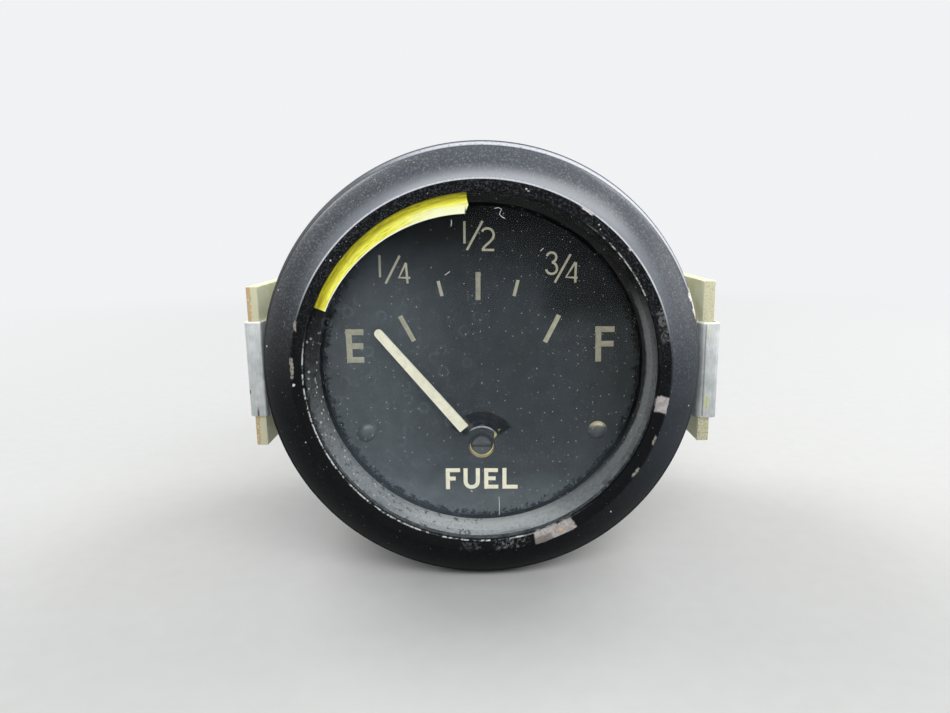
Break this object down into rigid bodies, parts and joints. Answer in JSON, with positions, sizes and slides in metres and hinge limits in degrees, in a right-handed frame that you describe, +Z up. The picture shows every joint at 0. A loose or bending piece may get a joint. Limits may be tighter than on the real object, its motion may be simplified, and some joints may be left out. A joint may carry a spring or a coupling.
{
  "type": "aircraft fuel gauge",
  "caption": "Round clamp-mounted panel fuel gauge: black bezel, glass, dial with empty to full marks, off-centre pointer, sealed can and rear clamp strap.",
  "frame": {"origin": "on the gauge's axis, in the plane of the bezel's rear face, which seats on the panel", "axes": "+X to the right of the dial, +Y back into the panel, +Z up the dial"},
  "size_m": [0.0658, 0.0615, 0.0602],
  "materials": {
    "black_enamel": "satin black baked enamel, worn at the ridge",
    "glass": "clear, dusty at the edge",
    "gasket_rubber": "matte",
    "surround_grey": "grey paint with dust",
    "case_black": "black wrinkle-free enamel",
    "dial_black": "satin black with cream markings",
    "screw_black": "blackened steel",
    "pointer_cream": "aged cream paint",
    "brass": "satin",
    "steel": "bright plated",
    "plated_strap": "yellow passivated zinc plate",
    "clip_zinc": "dull grey sheet",
    "aluminium": "satin",
    "soft_iron": "dark oiled",
    "copper_wire": "enamelled copper wire",
    "bobbin_moulding": "brown phenolic",
    "insulator_fibre": "red-brown fibre",
    "ceramic": "glazed ceramic"
  },
  "bodies": {
    "case": {"bezel": "black_enamel", "lens": "glass", "lens_gasket": "gasket_rubber", "dial_surround": "surround_grey", "case_flange": "case_black", "case_can": "case_black", "dial_plate": "dial_black", "dial_screws": "screw_black", "dial_posts": "brass", "front_plate": "brass", "rear_plate": "brass", "frame_pillars": "brass", "front_bridge": "brass", "bridge_posts": "brass", "front_pivot_screw": "screw_black", "rear_pivot_screw": "brass", "stop_pins": "steel", "damping_cup": "aluminium", "coil_bobbins": "bobbin_moulding", "coil_windings": "copper_wire", "pole_cores": "soft_iron", "coil_yoke": "soft_iron", "clamp_studs": "steel", "stud_spacers": "brass", "case_lock_washers": "steel", "case_nuts": "steel", "terminal_studs": "brass", "terminal_inner_insulators": "insulator_fibre", "terminal_outer_insulators": "insulator_fibre", "terminal_base_nuts": "steel", "terminal_lock_washers": "steel", "terminal_top_nuts": "steel", "calibration_resistor": "ceramic", "resistor_leads": "steel"},
    "pointer": {"pointer": "pointer_cream", "pointer_staff": "steel", "pointer_hub": "brass", "balance_arm": "brass", "balance_weight": "brass", "armature": "soft_iron", "damping_vane": "aluminium"},
    "strap": {"mounting_strap": "plated_strap", "left_edge_clip": "clip_zinc", "right_edge_clip": "clip_zinc", "strap_washers": "steel"},
    "left_nut": {"left_clamp_nut": "brass"},
    "right_nut": {"right_clamp_nut": "brass"}
  },
  "joints": [
    {"name": "pointer_sweep", "type": "hinge", "parent": "case", "child": "pointer", "pos_m": [0, 0, -0.0112], "axis": [0, 1, 0], "range_deg": [0, 82]},
    {"name": "strap_slide", "type": "slide", "parent": "case", "child": "strap", "axis": [0, 1, 0], "range_m": [0, 0.006]},
    {"name": "left_nut_spin", "type": "hinge", "parent": "strap", "child": "left_nut", "pos_m": [-0.014, 0.0458, 0], "axis": [0, 1, 0], "continuous": true},
    {"name": "right_nut_spin", "type": "hinge", "parent": "strap", "child": "right_nut", "pos_m": [0.014, 0.0458, 0], "axis": [0, 1, 0], "continuous": true}
  ]
}
